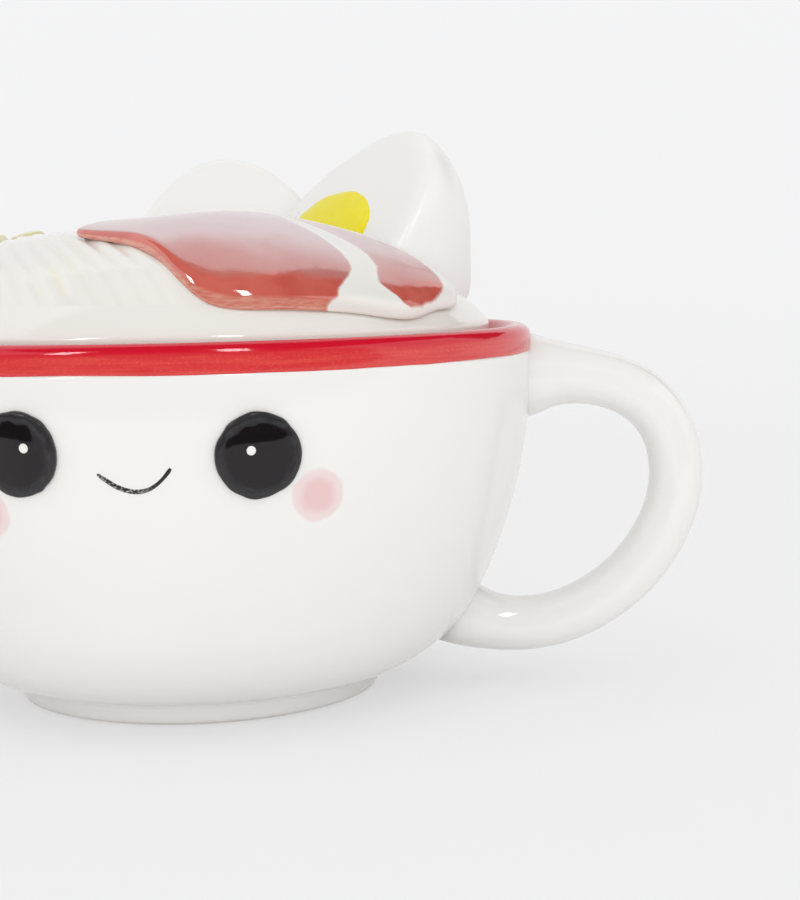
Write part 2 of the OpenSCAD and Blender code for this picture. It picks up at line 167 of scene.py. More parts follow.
far = between(sheet_paper, distance(sheet_paper, (0, 0, 0)), *PAPER_FADE)
lit = reckon(sheet_paper, "MULTIPLY", seen, spread(sheet_paper, far, PAPER_GLOW))
glow = put(sheet_paper, "ShaderNodeEmission", Color=BACKDROP, Strength=1.0).outputs["Emission"]
faded = put(sheet_paper, "ShaderNodeMixShader", i0=lit, i1=paper_shader.outputs["BSDF"], i2=glow)
link(sheet_paper, faded.outputs["Shader"], sheet_paper.node_tree.nodes["Material Output"], "Surface")
paper.data.materials.append(sheet_paper)

# Studio lamps
# Two strip boxes above the camera are seen only in the glaze, as the paired glints on the lip, and so is
# the dark room round them. A low sheet in front and a pale surround give all the rest of the light.
STRIPS = [("left_box", (-0.59, -0.75, 0.95), 0.13, 0.45, 2.6),
          ("right_box", (0.37, -0.81, 1.02), 0.16, 0.45, 3.0)]
SHEETS = [("low_sheet", (0.15, -1.30, 0.15), 1.40, 0.28, 4.3)]
AIM = Vector((0, 0, 0.05))
SURROUND_LOW = (0.83, 0.83, 0.84, 1)
SURROUND_HIGH = (0.97, 0.97, 0.97, 1)
CLOTH_BLACK = (0.02, 0.02, 0.02, 1)
CLOTH_WORN = (0.03, 0.03, 0.03, 1)
ROOM = {"behind": [(-3.5, -1.5, 1.6), (3.5, -1.5, 1.6), (3.5, -1.5, 0.004), (-3.5, -1.5, 0.004)],
        "below": [(-3.5, -1.5, 0.004), (3.5, -1.5, 0.004), (1.2, -0.34, 0.004), (-1.2, -0.34, 0.004)],
        "overhead": [(-1.1, -1.5, 1.6), (1.6, -1.5, 1.6), (1.6, 0.75, 1.6), (-1.1, 0.10, 1.6)],
        "overhead_right": [(0.35, 0.40, 1.602), (1.6, 0.40, 1.602), (1.6, 1.25, 1.602),
                           (0.66, 1.25, 1.602)],
        "right": [(0.72, 1.2, 1.6), (2.0, 1.2, 1.6), (2.0, 1.2, 0.6), (0.72, 1.2, 0.6)]}

for lamp_name, lamp_at, wide, tall, watts in STRIPS + SHEETS:
    bpy.ops.object.light_add(type="AREA", location=lamp_at)
    lamp = bpy.context.object
    lamp.name = lamp_name
    lamp.data.shape = "RECTANGLE"
    lamp.data.size, lamp.data.size_y, lamp.data.energy = wide, tall, watts
    lamp.rotation_euler = (AIM - Vector(lamp_at)).to_track_quat("-Z", "Y").to_euler()
    lamp.visible_glossy = lamp_name.endswith("box")
    lamp.visible_diffuse = not lamp.visible_glossy
world = bpy.data.worlds.new("surround")
world.use_nodes = True
sky_way = put(world, "ShaderNodeTexCoord").outputs["Generated"]
sky_height = put(world, "ShaderNodeSeparateXYZ", Vector=sky_way).outputs["Z"]
sky = tinted(world, between(world, sky_height, 0.1, 0.9), SURROUND_LOW, SURROUND_HIGH)
link(world, sky, world.node_tree.nodes["Background"], "Color")
bpy.context.scene.world = world
dark_cloth, cloth_shader = new_finish("dark_cloth", 0.9)
cloth_tone = tinted(dark_cloth, mottle(dark_cloth, 2), CLOTH_BLACK, CLOTH_WORN)
link(dark_cloth, cloth_tone, cloth_shader, "Base Color")
for part, corners in ROOM.items():
    bpy.ops.object.select_all(action="DESELECT")
    bpy.ops.mesh.primitive_plane_add(size=1)
    cloth = bpy.context.object
    cloth.name = "dark_room_" + part
    for v, corner in zip(cloth.data.polygons[0].vertices, corners):
        cloth.data.vertices[v].co = corner
    cloth.data.materials.append(dark_cloth)
    cloth.visible_camera = cloth.visible_diffuse = cloth.visible_shadow = False

# Bowl
# Slip-cast white stoneware under a glossy, faintly warm glaze. The foot ring's tread is wiped bare before
# the firing, and two pink cheeks are brushed on under the glaze.
RIM_R = 0.068
RIM_Z = 0.0723
WALL = 0.0046
WALL_ARC = 0.105
TURN_Z = 0.0205
TURN_END = math.radians(75)
FOOT_Z = 0.004
FOOT_WIDTH = 0.006
FOOT_INSET = 0.0016
FOOT_RISE = 0.0046
TURN_LAST = math.radians(69)
FOOT_HOLLOW = 0.0024
LIP = 0.0048
SEAT_Z = 0.066
SEAT_EDGE = 0.003
BAND_Z = 0.067
COAT_END = 0.0675
COAT = 0.00045
LIP_IN = RIM_R - LIP
SEAT_IN = LIP_IN - 0.0067
WHITE = (0.855, 0.845, 0.815, 1)
COOL_WHITE = (0.84, 0.83, 0.808, 1)
BARE_CLAY = (0.70, 0.62, 0.53, 1)
BARE_EDGE = (0.0007, 0.0003)
CHEEK_PINK = (0.78, 0.45, 0.46, 1)
CHEEKS = [(math.radians(-24.3), 0.0437), (math.radians(26.7), 0.0458)]
CHEEK_COATS = [(0.0052, 0.0004, 0.40), (0.0036, 0.0011, 0.60)]
CHEEK_RAGGED = 0.0012

turn_start = math.asin((SEAT_Z - TURN_Z) / WALL_ARC)
turn_arc = (TURN_Z - FOOT_Z) / (math.sin(TURN_END) - math.sin(turn_start))
wall_mid = Vector((RIM_R - WALL_ARC, 0, SEAT_Z))
turn_mid = wall_mid + (WALL_ARC - turn_arc) * Vector((math.cos(turn_start), 0, -math.sin(turn_start)))
floor_z = turn_mid.z - turn_arc + WALL


def wall_r(z):
    """Outer radius of the bowl at a height."""
    if z >= SEAT_Z:
        return RIM_R
    if z >= TURN_Z:
        return wall_mid.x + math.sqrt(WALL_ARC ** 2 - (SEAT_Z - z) ** 2)
    return turn_mid.x + math.sqrt(max(0, turn_arc ** 2 - (turn_mid.z - z) ** 2))


def on_wall(turn, z, out=0.0):
    """Point on the bowl's outside, at a turn from the middle of the face."""
    r = wall_r(z) + out
    return Vector((r * math.sin(turn), -r * math.cos(turn), z))


def arc(mid, r, start, end, parts):
    """Profile points of an arc about a middle, between two angles."""
    turns = [start + (end - start) * k / parts for k in range(parts + 1)]
    return [mid + r * Vector((math.cos(a), 0, math.sin(a))) for a in turns]


def profile(*pairs):
    """Profile points from pairs of radius and height."""
    return [Vector((r, 0, z)) for r, z in pairs]


def spun(name, line, steps=96):
    """A turned form: its profile is drawn point by point and spun round the upright axis."""
    bpy.ops.object.select_all(action="DESELECT")
    bpy.ops.mesh.primitive_plane_add(size=0.001)
    piece = bpy.context.object
    piece.name = piece.data.name = name
    bpy.ops.object.mode_set(mode="EDIT")
    bpy.ops.mesh.select_mode(type="VERT")
    bpy.ops.mesh.select_all(action="SELECT")
    bpy.ops.mesh.merge(type="CENTER")
    bpy.ops.transform.translate(value=line[0])
    for here, there in zip(line, line[1:]):
        bpy.ops.mesh.extrude_vertices_move(TRANSFORM_OT_translate={"value": there - here})
    bpy.ops.mesh.select_all(action="SELECT")
    bpy.ops.mesh.spin(steps=steps, angle=2 * math.pi, center=(0, 0, 0), axis=(0, 0, 1))
    bpy.ops.mesh.select_all(action="SELECT")
    bpy.ops.mesh.remove_doubles(threshold=1e-6)
    bpy.ops.mesh.normals_make_consistent(inside=False)
    bpy.ops.object.mode_set(mode="OBJECT")
    return piece


def applied(piece, kind, **settings):
    """A modifier put on a piece and applied."""
    modifier = piece.modifiers.new(kind.lower(), kind)
    for key, value in settings.items():
        setattr(modifier, key, value)
    bpy.ops.object.select_all(action="DESELECT")
    piece.select_set(True)
    bpy.context.view_layer.objects.active = piece
    bpy.ops.object.modifier_apply(modifier=modifier.name)


def smoothed(piece, levels=1):
    """Subdivision and smooth shading round a piece off."""
    applied(piece, "SUBSURF", levels=levels, render_levels=levels)
    bpy.ops.object.shade_smooth()


def dressed(piece, material, body, slot, *nodes):
    """A finished piece gets its material and takes the place of its CAD nodes on their body."""
    piece.data.materials.clear()
    piece.data.materials.append(material)
    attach(piece, body)
    if nodes:
        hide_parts(*nodes)


def glaze_skin(material, shader, peel=0.02, shine=None, grain=260):
    """The faint orange peel of a fired glaze, and its uneven shine unless another is given."""
    bump = put(material, "ShaderNodeBump", Strength=peel, Distance=0.001, Height=mottle(material, grain, 3))
    link(material, bump.outputs["Normal"], shader, "Normal")
    link(material, shine or spread(material, mottle(material, 90), 0.05, 0.13), shader, "Roughness")


def along(material, axis):
    """Place on the piece along one of the three axes."""
    here = put(material, "ShaderNodeTexCoord").outputs["Object"]
    return put(material, "ShaderNodeSeparateXYZ", Vector=here).outputs[axis]


def clouded(material, scale, first, second):
    """Two near colours in soft clouds."""
    return tinted(material, between(material, mottle(material, scale), 0.3, 0.7), first, second)


foot_r = turn_mid.x + turn_arc * math.cos(TURN_END) - FOOT_INSET
tread_in = foot_r - FOOT_WIDTH
ramp_z = SEAT_Z - SEAT_EDGE - (RIM_R - WALL - SEAT_IN)
ramp_turn = math.asin((SEAT_Z - ramp_z) / (WALL_ARC - WALL))
lip_mid = Vector((RIM_R - LIP / 2, 0, RIM_Z - LIP / 2))
bowl = spun("glazed_bowl", (
    profile((0, FOOT_HOLLOW), (tread_in - 0.008, FOOT_HOLLOW), (tread_in - 0.0008, FOOT_HOLLOW - 0.0001),
            (tread_in - 0.0002, 0.0008), (tread_in + 0.0007, 0), (foot_r - 0.0007, 0), (foot_r, 0.0008),
            (foot_r, FOOT_RISE - 0.0012), (foot_r + 0.0005, FOOT_RISE - 0.0002),
            (foot_r + 0.0016, FOOT_RISE))
    + arc(turn_mid, turn_arc, -TURN_LAST, -turn_start - 0.05, 14)
    + arc(wall_mid, WALL_ARC, -turn_start, 0, 18)
    + profile((RIM_R, BAND_Z - 0.0003), (RIM_R - 0.0001, BAND_Z), (RIM_R - COAT, BAND_Z + 0.0002))
    + arc(lip_mid, LIP / 2 - COAT, 0, math.pi, 12)
    + profile((LIP_IN + COAT, COAT_END), (LIP_IN, COAT_END - 0.0002), (LIP_IN, SEAT_Z + 0.0005),
              (LIP_IN - 0.0005, SEAT_Z), (SEAT_IN + 0.0005, SEAT_Z), (SEAT_IN, SEAT_Z - 0.0005),
              (SEAT_IN, SEAT_Z - SEAT_EDGE + 0.0005))
    + arc(wall_mid, WALL_ARC - WALL, -ramp_turn, -turn_start, 12)
    + arc(turn_mid, turn_arc - WALL, -turn_start - 0.05, -math.pi / 2, 12)
    + profile((0, floor_z))), 128)
smoothed(bowl)

white_glaze, white_shader = new_finish("white_glaze", 0.09)
body_white = clouded(white_glaze, 24, WHITE, COOL_WHITE)
brush = mottle(white_glaze, 420, 3)
for cheek_turn, cheek_z in CHEEKS:
    from_cheek = distance(white_glaze, on_wall(cheek_turn, cheek_z))
    ragged = reckon(white_glaze, "ADD", from_cheek, reckon(white_glaze, "MULTIPLY", brush, CHEEK_RAGGED))
    for reach, soft, share in CHEEK_COATS:
        pink = between(white_glaze, ragged, reach + soft, reach - soft)
        blush = reckon(white_glaze, "MULTIPLY", pink, share)
        body_white = tinted(white_glaze, blush, body_white, CHEEK_PINK)
bare = between(white_glaze, along(white_glaze, "Z"), *BARE_EDGE)
link(white_glaze, tinted(white_glaze, bare, body_white, BARE_CLAY), white_shader, "Base Color")
glaze_skin(white_glaze, white_shader)
dressed(bowl, white_glaze, "mug", "white_glaze", "bowl")

# Red rim band
# A thick red glaze brushed round the lip, down to an uneven edge outside and to the lid's seat inside.
# It is deep where it pools on the lip's top and thinner, with streaks of the brush, down the side.
BAND_DEEP = (0.60, 0.006, 0.024, 1)
BAND_THIN = (0.69, 0.062, 0.056, 1)
BAND_STREAK = (0.65, 0.036, 0.042, 1)
BAND_FLECK = (0.80, 0.15, 0.10, 1)
FLECK_SHARE = 0.24
POOL_DEPTH = (0.0026, 0.0012)
EDGE_WAVER = 0.0007

band = spun("red_rim_band", (
    profile((RIM_R - 0.0001, BAND_Z), (RIM_R - 0.00002, BAND_Z + 0.0004),
            (RIM_R - 0.00002, BAND_Z + 0.0015))
    + arc(lip_mid, LIP / 2, 0, math.pi, 14)
    + profile((LIP_IN, RIM_Z - 0.004), (LIP_IN, COAT_END))), 160)
edge_group = band.vertex_groups.new(name="brushed_edge")
edge_group.add([v.index for v in band.data.vertices
                if v.co.z < BAND_Z + 0.0002 and v.co.xy.length > RIM_R - 0.001], 1, "REPLACE")
waver = bpy.data.textures.new("brush_waver", "CLOUDS")
waver.noise_scale = 0.012
applied(band, "DISPLACE", texture=waver, texture_coords="LOCAL", direction="Z", strength=EDGE_WAVER,
        mid_level=0.5, vertex_group="brushed_edge")
applied(band, "SOLIDIFY", thickness=0.0004, offset=-1)
smoothed(band)

red_glaze, red_shader = new_finish("red_glaze", 0.1)
streak = between(red_glaze, mottle(red_glaze, 1, 3, (70, 70, 1500)), 0.35, 0.65)
side_red = tinted(red_glaze, streak, BAND_THIN, BAND_STREAK)
fleck = reckon(red_glaze, "MULTIPLY", between(red_glaze, mottle(red_glaze, 2400), 0.5, 0.72), FLECK_SHARE)
side_red = tinted(red_glaze, fleck, side_red, BAND_FLECK)
pooled = between(red_glaze, along(red_glaze, "Z"), *(RIM_Z - depth for depth in POOL_DEPTH))
link(red_glaze, tinted(red_glaze, pooled, side_red, BAND_DEEP), red_shader, "Base Color")
glaze_skin(red_glaze, red_shader, 0.06)
dressed(band, red_glaze, "mug", "red_glaze", "rim_glaze")

# Handle
# A pulled roll of clay, oval in section, bent into a loop and luted to the wall with smoothed, swelling
# roots. It carries the same white glaze as the bowl.
HANDLE_OUT = 0.102 - 0.0053
HANDLE_THICK = 0.0106
HANDLE_WIDTH = 0.012
HANDLE_TOP = 0.0618
HANDLE_LOW = 0.014
HANDLE_MID = (HANDLE_TOP + HANDLE_LOW) / 2 + 0.004
HANDLE_REACH = 0.034
UPPER_FLARE = 0.62
LOWER_FLARE = 0.32


def bent(line, t):
    """Point on a cubic curve through four control points."""
    a, b, c, d = (Vector((x, 0, z)) for x, z in line)
    return (1 - t) ** 3 * a + 3 * t * (1 - t) ** 2 * b + 3 * t * t * (1 - t) * c + t ** 3 * d


upper_bend = [(RIM_R - WALL + 0.0016, HANDLE_TOP), (RIM_R + HANDLE_REACH * 0.53, HANDLE_TOP + 0.002),
              (HANDLE_OUT, HANDLE_MID + (HANDLE_TOP - HANDLE_MID) * 0.72), (HANDLE_OUT, HANDLE_MID)]
lower_bend = [(HANDLE_OUT, HANDLE_MID), (HANDLE_OUT, HANDLE_MID - (HANDLE_MID - HANDLE_LOW) * 0.64),
              (RIM_R + HANDLE_REACH * 0.18, HANDLE_LOW - 0.0106),
              (wall_r(HANDLE_LOW) - 0.002, HANDLE_LOW + 0.0008)]
way = [bent(upper_bend, k / 20) for k in range(20)] + [bent(lower_bend, k / 22) for k in range(23)]
bpy.ops.object.select_all(action="DESELECT")
bpy.ops.curve.primitive_nurbs_path_add()
handle = bpy.context.object
handle.name = "pulled_handle"
route = handle.data.splines[0]
route.points.add(len(way) - len(route.points))
for place, stop in zip(route.points, way):
    off = max(0, stop.x - wall_r(stop.z))
    high = stop.z > HANDLE_MID
    flare, reach = (UPPER_FLARE, 0.005) if high else (LOWER_FLARE, 0.006)
    place.co = (stop.x, stop.y, stop.z, 1)
    place.radius = 1 + flare * math.exp(-off / reach)
route.use_endpoint_u = True
route.order_u = 4
route.resolution_u = 3
handle.data.bevel_depth = HANDLE_THICK / 2
handle.data.bevel_resolution = 10
handle.data.use_fill_caps = True
bpy.ops.object.convert(target="MESH")
bpy.ops.object.mode_set(mode="EDIT")
bpy.ops.mesh.select_all(action="SELECT")
bpy.ops.transform.resize(value=(1, HANDLE_WIDTH / HANDLE_THICK, 1), center_override=(0, 0, 0))
bpy.ops.mesh.remove_doubles(threshold=1e-6)
bpy.ops.mesh.normals_make_consistent(inside=False)
bpy.ops.object.mode_set(mode="OBJECT")
bpy.ops.object.shade_smooth()
dressed(handle, white_glaze, "mug", "white_glaze", "handle")

# Eyes
# Two black-glazed buttons sprigged on the wall, with edges trimmed by hand, each with a dot of white.
# The glaze is glossy on the crown and a little drier round the edge.
EYE_R = 0.0074
EYE_RISE = 0.0014
EYE_EDGE = 0.0002
EYE_Z = 0.0534
EYE_TURN = math.radians(17.5)
EYE_TILT = math.asin((SEAT_Z - EYE_Z) / WALL_ARC)
EYE_BLACK = (0.0085, 0.0065, 0.0075, 1)
EYE_DRY = (0.026, 0.025, 0.027, 1)
DRY_FROM = (0.0058, 0.0074)
DRY_RAGGED = 0.0012
DOT_R = 0.00088
DOT_RISE = 0.00022


def placed(piece, move):
    """A piece moved to its place, with the move kept in its mesh."""
    piece.matrix_world = move
    bpy.ops.object.select_all(action="DESELECT")
    piece.select_set(True)
    bpy.context.view_layer.objects.active = piece
    bpy.ops.object.transform_apply()


def eye_place(turn, z):
    """The frame of an eye at a height, with +Z out of the wall and +Y up it."""
    across = Vector((math.cos(turn), math.sin(turn), 0))
    level = Vector((math.sin(turn), -math.cos(turn), 0))
    out = math.cos(EYE_TILT) * level - math.sin(EYE_TILT) * Vector((0, 0, 1))
    axes = Matrix((across, out.cross(across), out)).transposed()
    return Matrix.Translation(on_wall(turn, z)) @ axes.to_4x4()


crown = [(EYE_R * out, EYE_EDGE + (EYE_RISE - EYE_EDGE) * up) for out, up in (
    (1, 0), (0.995, 0.18), (0.965, 0.38), (0.91, 0.50), (0.86, 0.53), (0.81, 0.50), (0.76, 0.54),
    (0.6, 0.71), (0.4, 0.88), (0.2, 0.97))]
trimming = bpy.data.textures.new("trimmed_edge", "CLOUDS")
trimming.noise_scale = 0.0028
for eye_name, side, eye_z, dot_at in (("eye_left", -1, EYE_Z + 0.0007, (0.0021, 0.0013)),
                                      ("eye_right", 1, EYE_Z - 0.0001, (-0.0014, 0.0011))):
    eye = spun(eye_name + "_button", profile((0, -0.0012), (EYE_R, -0.0012), *crown, (0, EYE_RISE)), 64)
    rim = eye.vertex_groups.new(name="rim")
    rim.add([v.index for v in eye.data.vertices if v.co.xy.length > EYE_R * 0.8], 1, "REPLACE")
    placed(eye, eye_place(side * EYE_TURN, eye_z))
    applied(eye, "DISPLACE", texture=trimming, texture_coords="LOCAL", strength=0.0009, vertex_group="rim")
    smoothed(eye)
    black_glaze, black_shader = new_finish(eye_name + "_glaze", 0.08)
    black_shader.inputs["Specular IOR Level"].default_value = 0.38
    middle = on_wall(side * EYE_TURN, eye_z, EYE_RISE)
    from_middle = reckon(black_glaze, "ADD", distance(black_glaze, middle),
                         reckon(black_glaze, "MULTIPLY", mottle(black_glaze, 500), DRY_RAGGED))
    dry = between(black_glaze, from_middle, *DRY_FROM)
    link(black_glaze, tinted(black_glaze, dry, EYE_BLACK, EYE_DRY), black_shader, "Base Color")
    glaze_skin(black_glaze, black_shader, 0.01, spread(black_glaze, dry, 0.05, 0.30), 700)
    dressed(eye, black_glaze, "mug", "black_glaze", eye_name)

    dot = spun(eye_name + "_dot", profile(
        (0, -0.0004), (DOT_R, -0.0004), (DOT_R, 0), (DOT_R * 0.85, DOT_RISE * 0.6), (DOT_R * 0.5, DOT_RISE),
        (0, DOT_RISE)), 24)
    placed(dot, eye_place(side * EYE_TURN, eye_z) @ Matrix.Translation((*dot_at, EYE_RISE - 0.00014)))
    smoothed(dot)
    dressed(dot, white_glaze, "mug", "white_glaze")

# Smile
# A short curve drawn on the wall between the eyes with a fine brush of black: heavy and broken at the
# left, thinning to the right, where the brush was lifted in a small blot.
SMILE = [(-0.0065, 0.05080), (-0.0061, 0.05050), (-0.0050, 0.04972), (-0.0032, 0.04857), (-0.0012, 0.04787),
         (0.0004, 0.04772), (0.0022, 0.04807), (0.0038, 0.04907), (0.0050, 0.05027), (0.0057, 0.05117),
         (0.0060, 0.05160)]
SMILE_WEIGHT = [0.3, 0.7, 0.95, 1.05, 1.0, 0.95, 0.8, 0.62, 0.6, 0.85, 0.4]
SMILE_R = 0.00053
SMILE_PROUD = 0.00018
INK = (0.018, 0.016, 0.018, 1)
INK_WORN = (0.42, 0.40, 0.39, 1)
WORN_FROM = (0.004, -0.001)

bpy.ops.object.select_all(action="DESELECT")
bpy.ops.curve.primitive_nurbs_path_add()
smile = bpy.context.object
smile.name = "painted_smile"
stroke = smile.data.splines[0]
stroke.points.add(len(SMILE) - len(stroke.points))
for place, (across, z), weight in zip(stroke.points, SMILE, SMILE_WEIGHT):
    place.co = (*on_wall(across / RIM_R, z, SMILE_PROUD - SMILE_R * weight), 1)
    place.radius = weight
stroke.use_endpoint_u = True
stroke.order_u = 3
stroke.resolution_u = 8
smile.data.bevel_depth = SMILE_R
smile.data.bevel_resolution = 5
smile.data.use_fill_caps = True
bpy.ops.object.convert(target="MESH")
bpy.ops.object.shade_smooth()
ink, ink_shader = new_finish("smile_ink", 0.3)
breaks = between(ink, mottle(ink, 2200, 4), 0.48, 0.62)
worn = reckon(ink, "MULTIPLY", breaks, between(ink, along(ink, "X"), *WORN_FROM))
link(ink, tinted(ink, worn, INK, INK_WORN), ink_shader, "Base Color")
dressed(smile, ink, "mug", "black_glaze")

# Lid
# A hollow cast dome with a rounded edge, seated inside the lip on the ledge, and a ring below it that keeps
# it centred. Its white is a little creamier than the bowl's.
LID_R = 0.0597
DOME_TOP = 0.0892
DOME_POWER = 4.2
EDGE_ROUND = 0.0015
LID_WALL = 0.0045
SPIGOT_R = SEAT_IN - 0.001
SPIGOT_WALL = 0.004
SPIGOT_Z = SEAT_Z - 0.006
LID_WHITE = (0.842, 0.826, 0.774, 1)
LID_PALE = (0.822, 0.810, 0.764, 1)
shoulder_r = LID_R - EDGE_ROUND * (1 - math.cos(math.pi / 4))
shoulder_z = RIM_Z + EDGE_ROUND * math.sin(math.pi / 4)


def dome_z(r):
    """Height of the lid's outside at a radius."""
    return DOME_TOP - (DOME_TOP - shoulder_z) * (r / shoulder_r) ** DOME_POWER


dome_radii = [shoulder_r * (k / 26) ** 0.7 for k in range(27)]
inner_radii = [(SPIGOT_R - SPIGOT_WALL) * (k / 16) ** 0.7 for k in range(16, -1, -1)]
lid = spun("glazed_lid", (
    profile(*((r, dome_z(r)) for r in dome_radii))
    + arc(Vector((LID_R - EDGE_ROUND, 0, RIM_Z)), EDGE_ROUND, math.radians(40), 0, 5)
    + profile((LID_R, SEAT_Z + 0.0008), (LID_R - 0.0003, SEAT_Z + 0.0003), (LID_R - 0.0008, SEAT_Z),
              (SPIGOT_R + 0.0005, SEAT_Z), (SPIGOT_R, SEAT_Z - 0.0005), (SPIGOT_R, SPIGOT_Z + 0.0008),
              (SPIGOT_R - 0.0008, SPIGOT_Z), (SPIGOT_R - SPIGOT_WALL + 0.0008, SPIGOT_Z),
              (SPIGOT_R - SPIGOT_WALL, SPIGOT_Z + 0.0008))
    + profile(*((r, dome_z(r) - LID_WALL) for r in inner_radii))), 128)
smoothed(lid)

lid_glaze, lid_shader = new_finish("lid_glaze", 0.09)
link(lid_glaze, clouded(lid_glaze, 24, LID_WHITE, LID_PALE), lid_shader, "Base Color")
glaze_skin(lid_glaze, lid_shader)
dressed(lid, lid_glaze, "lid", "white_glaze", "lid_shell")

# Noodles
# Strands modelled side by side on the dome as one low relief, whose grooves the glaze has half filled and
# a painted shade greys a little. The relief runs out towards the lid's edge, and a wash of pale yellow
# stays in some of the grooves.
STRAND_FIRST = 0.0447
STRAND_PITCH = 0.003
STRAND_CENTRE = 0.058
STRAND_HEIGHT = 0.0032
GROOVE = 0.00050
RELIEF_SINK = 0.0010
RELIEF_THICK = 0.0015
RELIEF_EDGE = 0.0033
WASH = (0.86, 0.80, 0.56, 1)
# Warm grey of the painted shade in the grooves.
GROOVE_SHADE_GREY = (0.72, 0.70, 0.62, 1)
FIRST_BEND = 0.041
LAST_BEND = 0.114
BED_TURN = math.radians(74)
BACK_FADE = (FIRST_BEND, 0.046)
BACK_END = (math.radians(37), math.radians(30))
FRONT_FADE = (0.056, 0.068)
RUN_OUT = (0.0572, 0.0485)
FILLED_FROM = (-0.022, -0.002)
FILLED_SHARE = 0.4
WASH_FROM = (-0.008, -0.024)
WASH_SHARE = 0.75
GROOVE_SHADE = 0.15


def step(value, low, high):
    """A smooth step from 0 at low to 1 at high."""
    share = min(1, max(0, (value - low) / (high - low)))
    return share * share * (3 - 2 * share)


def noodle_point(bend, turn):
    """Point of the noodle relief, at a distance and a turn about the strands' centre."""
    x = STRAND_CENTRE - bend * math.cos(turn)
    y = -bend * math.sin(turn)
    r = math.hypot(x, y)
    at_back = step(bend, *BACK_FADE) * step(turn, *BACK_END)
    in_front = step(bend, *FRONT_FADE)
    run_out = step(r, *RUN_OUT)
    laid = max(at_back, in_front) * run_out
    full = STRAND_HEIGHT * (1.03 - 0.5 * (r / LID_R) ** 6)
    across = 0.5 - 0.5 * math.cos(2 * math.pi * (bend - STRAND_FIRST) / STRAND_PITCH)
    furrow = GROOVE * (1 - FILLED_SHARE * step(x, *FILLED_FROM)) * run_out ** 0.5 * across
    return Vector((x, y, dome_z(min(r, LID_R)) - RELIEF_SINK + laid * (full + RELIEF_SINK - furrow)))


bpy.ops.object.select_all(action="DESELECT")
bpy.ops.mesh.primitive_grid_add(x_subdivisions=176, y_subdivisions=210, size=1)
noodles = bpy.context.object
noodles.name = noodles.data.name = "noodle_relief"
bpy.ops.object.mode_set(mode="EDIT")
bpy.ops.mesh.select_mode(type="VERT")
bpy.ops.mesh.select_all(action="DESELECT")
bpy.ops.object.mode_set(mode="OBJECT")
for v in noodles.data.vertices:
    v.co = noodle_point(FIRST_BEND + (LAST_BEND - FIRST_BEND) * (v.co.x + 0.5), 2 * BED_TURN * v.co.y)
    v.select = v.co.xy.length > LID_R - RELIEF_EDGE
bpy.ops.object.mode_set(mode="EDIT")
bpy.ops.mesh.delete(type="VERT")
bpy.ops.object.mode_set(mode="OBJECT")
applied(noodles, "SOLIDIFY", thickness=RELIEF_THICK, offset=-1)
bpy.ops.object.shade_smooth()

noodle_glaze, noodle_shader = new_finish("noodle_glaze", 0.1)
here = put(noodle_glaze, "ShaderNodeTexCoord").outputs["Object"]
plan = put(noodle_glaze, "ShaderNodeVectorMath", {"operation": "MULTIPLY"}, i0=here, i1=(1, 1, 0))
from_centre = put(noodle_glaze, "ShaderNodeVectorMath", {"operation": "DISTANCE"},
                  i0=plan.outputs["Vector"], i1=(STRAND_CENTRE, 0, 0)).outputs["Value"]
past_first = reckon(noodle_glaze, "SUBTRACT", from_centre, STRAND_FIRST)
strand = reckon(noodle_glaze, "DIVIDE", past_first, STRAND_PITCH)
off_ridge = reckon(noodle_glaze, "PINGPONG", reckon(noodle_glaze, "ADD", strand, 100.0), 0.5)
groove = between(noodle_glaze, off_ridge, 0.2, 0.46)
patches = between(noodle_glaze, mottle(noodle_glaze, 75), 0.46, 0.62)
on_left = between(noodle_glaze, along(noodle_glaze, "X"), *WASH_FROM)
wash = reckon(noodle_glaze, "MULTIPLY", reckon(noodle_glaze, "MULTIPLY", groove, patches),
              reckon(noodle_glaze, "MULTIPLY", on_left, WASH_SHARE))
# Painted shade: every groove is greyed a little towards warm grey.
noodle_shaded_white = tinted(noodle_glaze, reckon(noodle_glaze, "MULTIPLY", groove, GROOVE_SHADE),
                      clouded(noodle_glaze, 24, LID_WHITE, LID_PALE), GROOVE_SHADE_GREY)
link(noodle_glaze, tinted(noodle_glaze, wash, noodle_shaded_white, WASH), noodle_shader, "Base Color")
glaze_skin(noodle_glaze, noodle_shader)
dressed(noodles, noodle_glaze, "lid", "white_glaze", "noodles")

# Pork slice
# One slab of belly with rounded edges, draped over noodles and dome. Two bands of lean are brushed on it in
# red under a glaze. On the flat top the red is a painted reflection of the bright room, a pale pink that
# fades into deep red where the slab turns down. Each is drawn as if the slab lay flat, so its y takes in
# the drop. The fat is the white of the lid.
# The pale pink and the paler red below it are a painted reflection, lightest where the slab faces up.
LEAN_PAINTED_SHEEN = (0.65, 0.488, 0.496, 1)
LEAN_THIN_AND_SHEEN = (0.53, 0.207, 0.188, 1)
LEAN_POOLED = (0.63, 0.135, 0.100, 1)
LEAN_DEEP = (0.55, 0.096, 0.070, 1)
LEAN_HEM = (0.70, 0.31, 0.225, 1)
FAT_DULL = 0.34
LEAN_SHINE = 0.08
SHEEN_FADES_AT = (0.12, 0.23)
POOLS_AT = (0.220, 0.262)
HEM_AT = (0.62, 0.86)
BLOTCH_SHARE = 0.06
LEAN_RAGGED = 0.0007
LEAN_SOFT = 0.00035
PORK_BED = Vector((0, 0, -0.0004))
PORK_SAGS = [(Vector((0.0090, -0.0500)), 0.0085, Vector((-0.0012, -0.0026, -0.0027))),
             (Vector((0.0430, -0.0360)), 0.0090, Vector((0.0014, -0.0012, -0.0017))),
             (Vector((0.0515, -0.0220)), 0.0070, Vector((0.0014, -0.0004, -0.0010)))]
PORK_Z = 0.080
